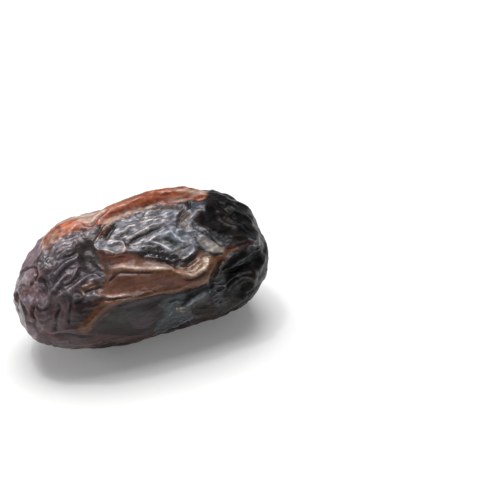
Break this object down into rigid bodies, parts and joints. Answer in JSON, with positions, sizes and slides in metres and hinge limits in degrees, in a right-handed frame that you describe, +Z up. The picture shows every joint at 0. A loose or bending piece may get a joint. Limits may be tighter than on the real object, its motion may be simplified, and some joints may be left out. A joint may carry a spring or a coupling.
{
  "type": "medjool date",
  "caption": "Whole dried date, an oblong soft fruit with a wrinkled glossy skin, loose raised folds, a stem scar at its blunt end and a flattened underside that it rests on.",
  "frame": {"origin": "on the surface the fruit lies on, under the middle of its length and width", "axes": "+X along the fruit from the blunt stem end to the tip end, +Z up, -Y the side that the picture shows"},
  "size_m": [0.051, 0.0302, 0.0279],
  "materials": {
    "date_skin": "glossy, wrinkled, dark brown with amber folds"
  },
  "bodies": {
    "root": {"date": "date_skin"}
  },
  "joints": []
}
